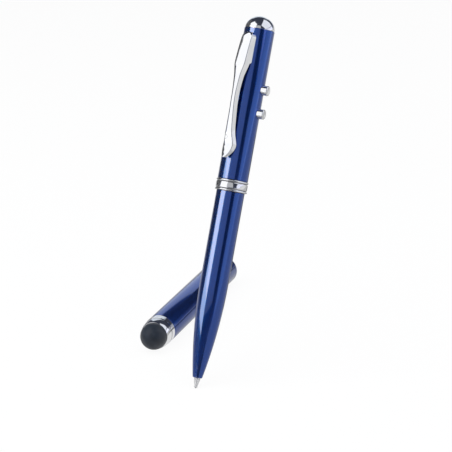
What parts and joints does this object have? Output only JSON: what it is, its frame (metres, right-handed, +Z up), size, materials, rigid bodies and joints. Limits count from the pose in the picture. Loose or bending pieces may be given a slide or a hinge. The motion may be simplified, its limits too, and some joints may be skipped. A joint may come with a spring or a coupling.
{
  "type": "ballpoint pen",
  "caption": "Capped ballpoint pen with pocket clip, screw-apart barrel, side push buttons for a torch and a laser pointer in its domed end, and a pull-off cap with a rubber stylus.",
  "frame": {"origin": "on the pen's axis at the writing grip, 30 mm from its point", "axes": "+Z up from the table, +Y along the cap's axis towards its mouth, +X to the side that the buttons face; the pen leans back towards +Y"},
  "size_m": [0.0469, 0.1041, 0.13],
  "materials": {
    "blue_lacquer": "glossy metallic blue lacquer",
    "chrome": "polished chrome plate",
    "brass": "turned brass",
    "nickel_silver": "turned nickel silver",
    "steel": "bright steel",
    "cell_steel": "nickel-plated steel",
    "stylus_rubber": "soft conductive rubber",
    "black_plastic": "moulded",
    "white_plastic": "moulded",
    "circuit_board": "solder mask",
    "lens_glass": "clear"
  },
  "bodies": {
    "lower_barrel": {"lower_barrel": "blue_lacquer", "refill_tip": "nickel_silver", "refill_tube": "brass", "refill_holder": "white_plastic", "coupler_sleeve": "brass", "centre_ring": "chrome", "spring_plate": "brass", "battery_spring": "steel"},
    "writing_ball": {"writing_ball": "steel"},
    "battery_stack": {"button_cell_1": "cell_steel", "button_cell_2": "cell_steel", "button_cell_3": "cell_steel"},
    "upper_barrel": {"upper_barrel": "blue_lacquer", "thread_insert": "brass", "top_dome": "chrome", "battery_sleeve": "white_plastic", "positive_contact": "brass", "circuit_board": "circuit_board", "laser_switch": "black_plastic", "led_switch": "black_plastic", "emitter_carrier": "black_plastic", "laser_housing": "brass", "laser_lens": "lens_glass", "led": "lens_glass"},
    "laser_button": {"laser_button": "chrome", "laser_switch_stem": "black_plastic"},
    "led_button": {"led_button": "chrome", "led_switch_stem": "black_plastic"},
    "clip": {"clip": "chrome"},
    "cap": {"cap_tube": "blue_lacquer", "cap_end_ring": "chrome", "cap_cup": "black_plastic", "stylus_dome": "stylus_rubber", "stylus_core": "black_plastic"}
  },
  "joints": [
    {"name": "barrel_lift", "type": "slide", "parent": "lower_barrel", "child": "battery_stack", "axis": [0.0462, 0.3797, 0.9239], "range_m": [0, 0.005]},
    {"name": "barrel_unscrew", "type": "hinge", "parent": "battery_stack", "child": "upper_barrel", "pos_m": [0.00223, 0.01834, 0.04463], "axis": [0.0462, 0.3797, 0.9239], "range_deg": [0, 1800]},
    {"name": "laser_press", "type": "slide", "parent": "upper_barrel", "child": "laser_button", "axis": [-0.9978, 0.0612, 0.0247], "range_m": [0, 0.0007], "stiffness_N_per_m": 2000},
    {"name": "led_press", "type": "slide", "parent": "upper_barrel", "child": "led_button", "axis": [-0.9978, 0.0612, 0.0247], "range_m": [0, 0.0007], "stiffness_N_per_m": 2000},
    {"name": "clip_flex", "type": "hinge", "parent": "upper_barrel", "child": "clip", "pos_m": [0.00325, 0.03404, 0.09754], "axis": [-0.964, 0.2596, -0.0585], "range_deg": [0, 5], "stiffness_Nm_per_rad": 0.8},
    {"name": "ball_roll", "type": "hinge", "parent": "lower_barrel", "child": "writing_ball", "pos_m": [-0.00136, -0.0112, -0.02726], "axis": [0.964, -0.2596, 0.0585], "continuous": true},
    {"name": "cap_slide", "type": "slide", "parent": "lower_barrel", "child": "cap", "axis": [0, 1, 0], "range_m": [-0.03, 0.03]}
  ],
  "couplings": [
    {"joint": "barrel_unscrew", "follows": "barrel_lift", "rad_per_m": 6283.2}
  ]
}
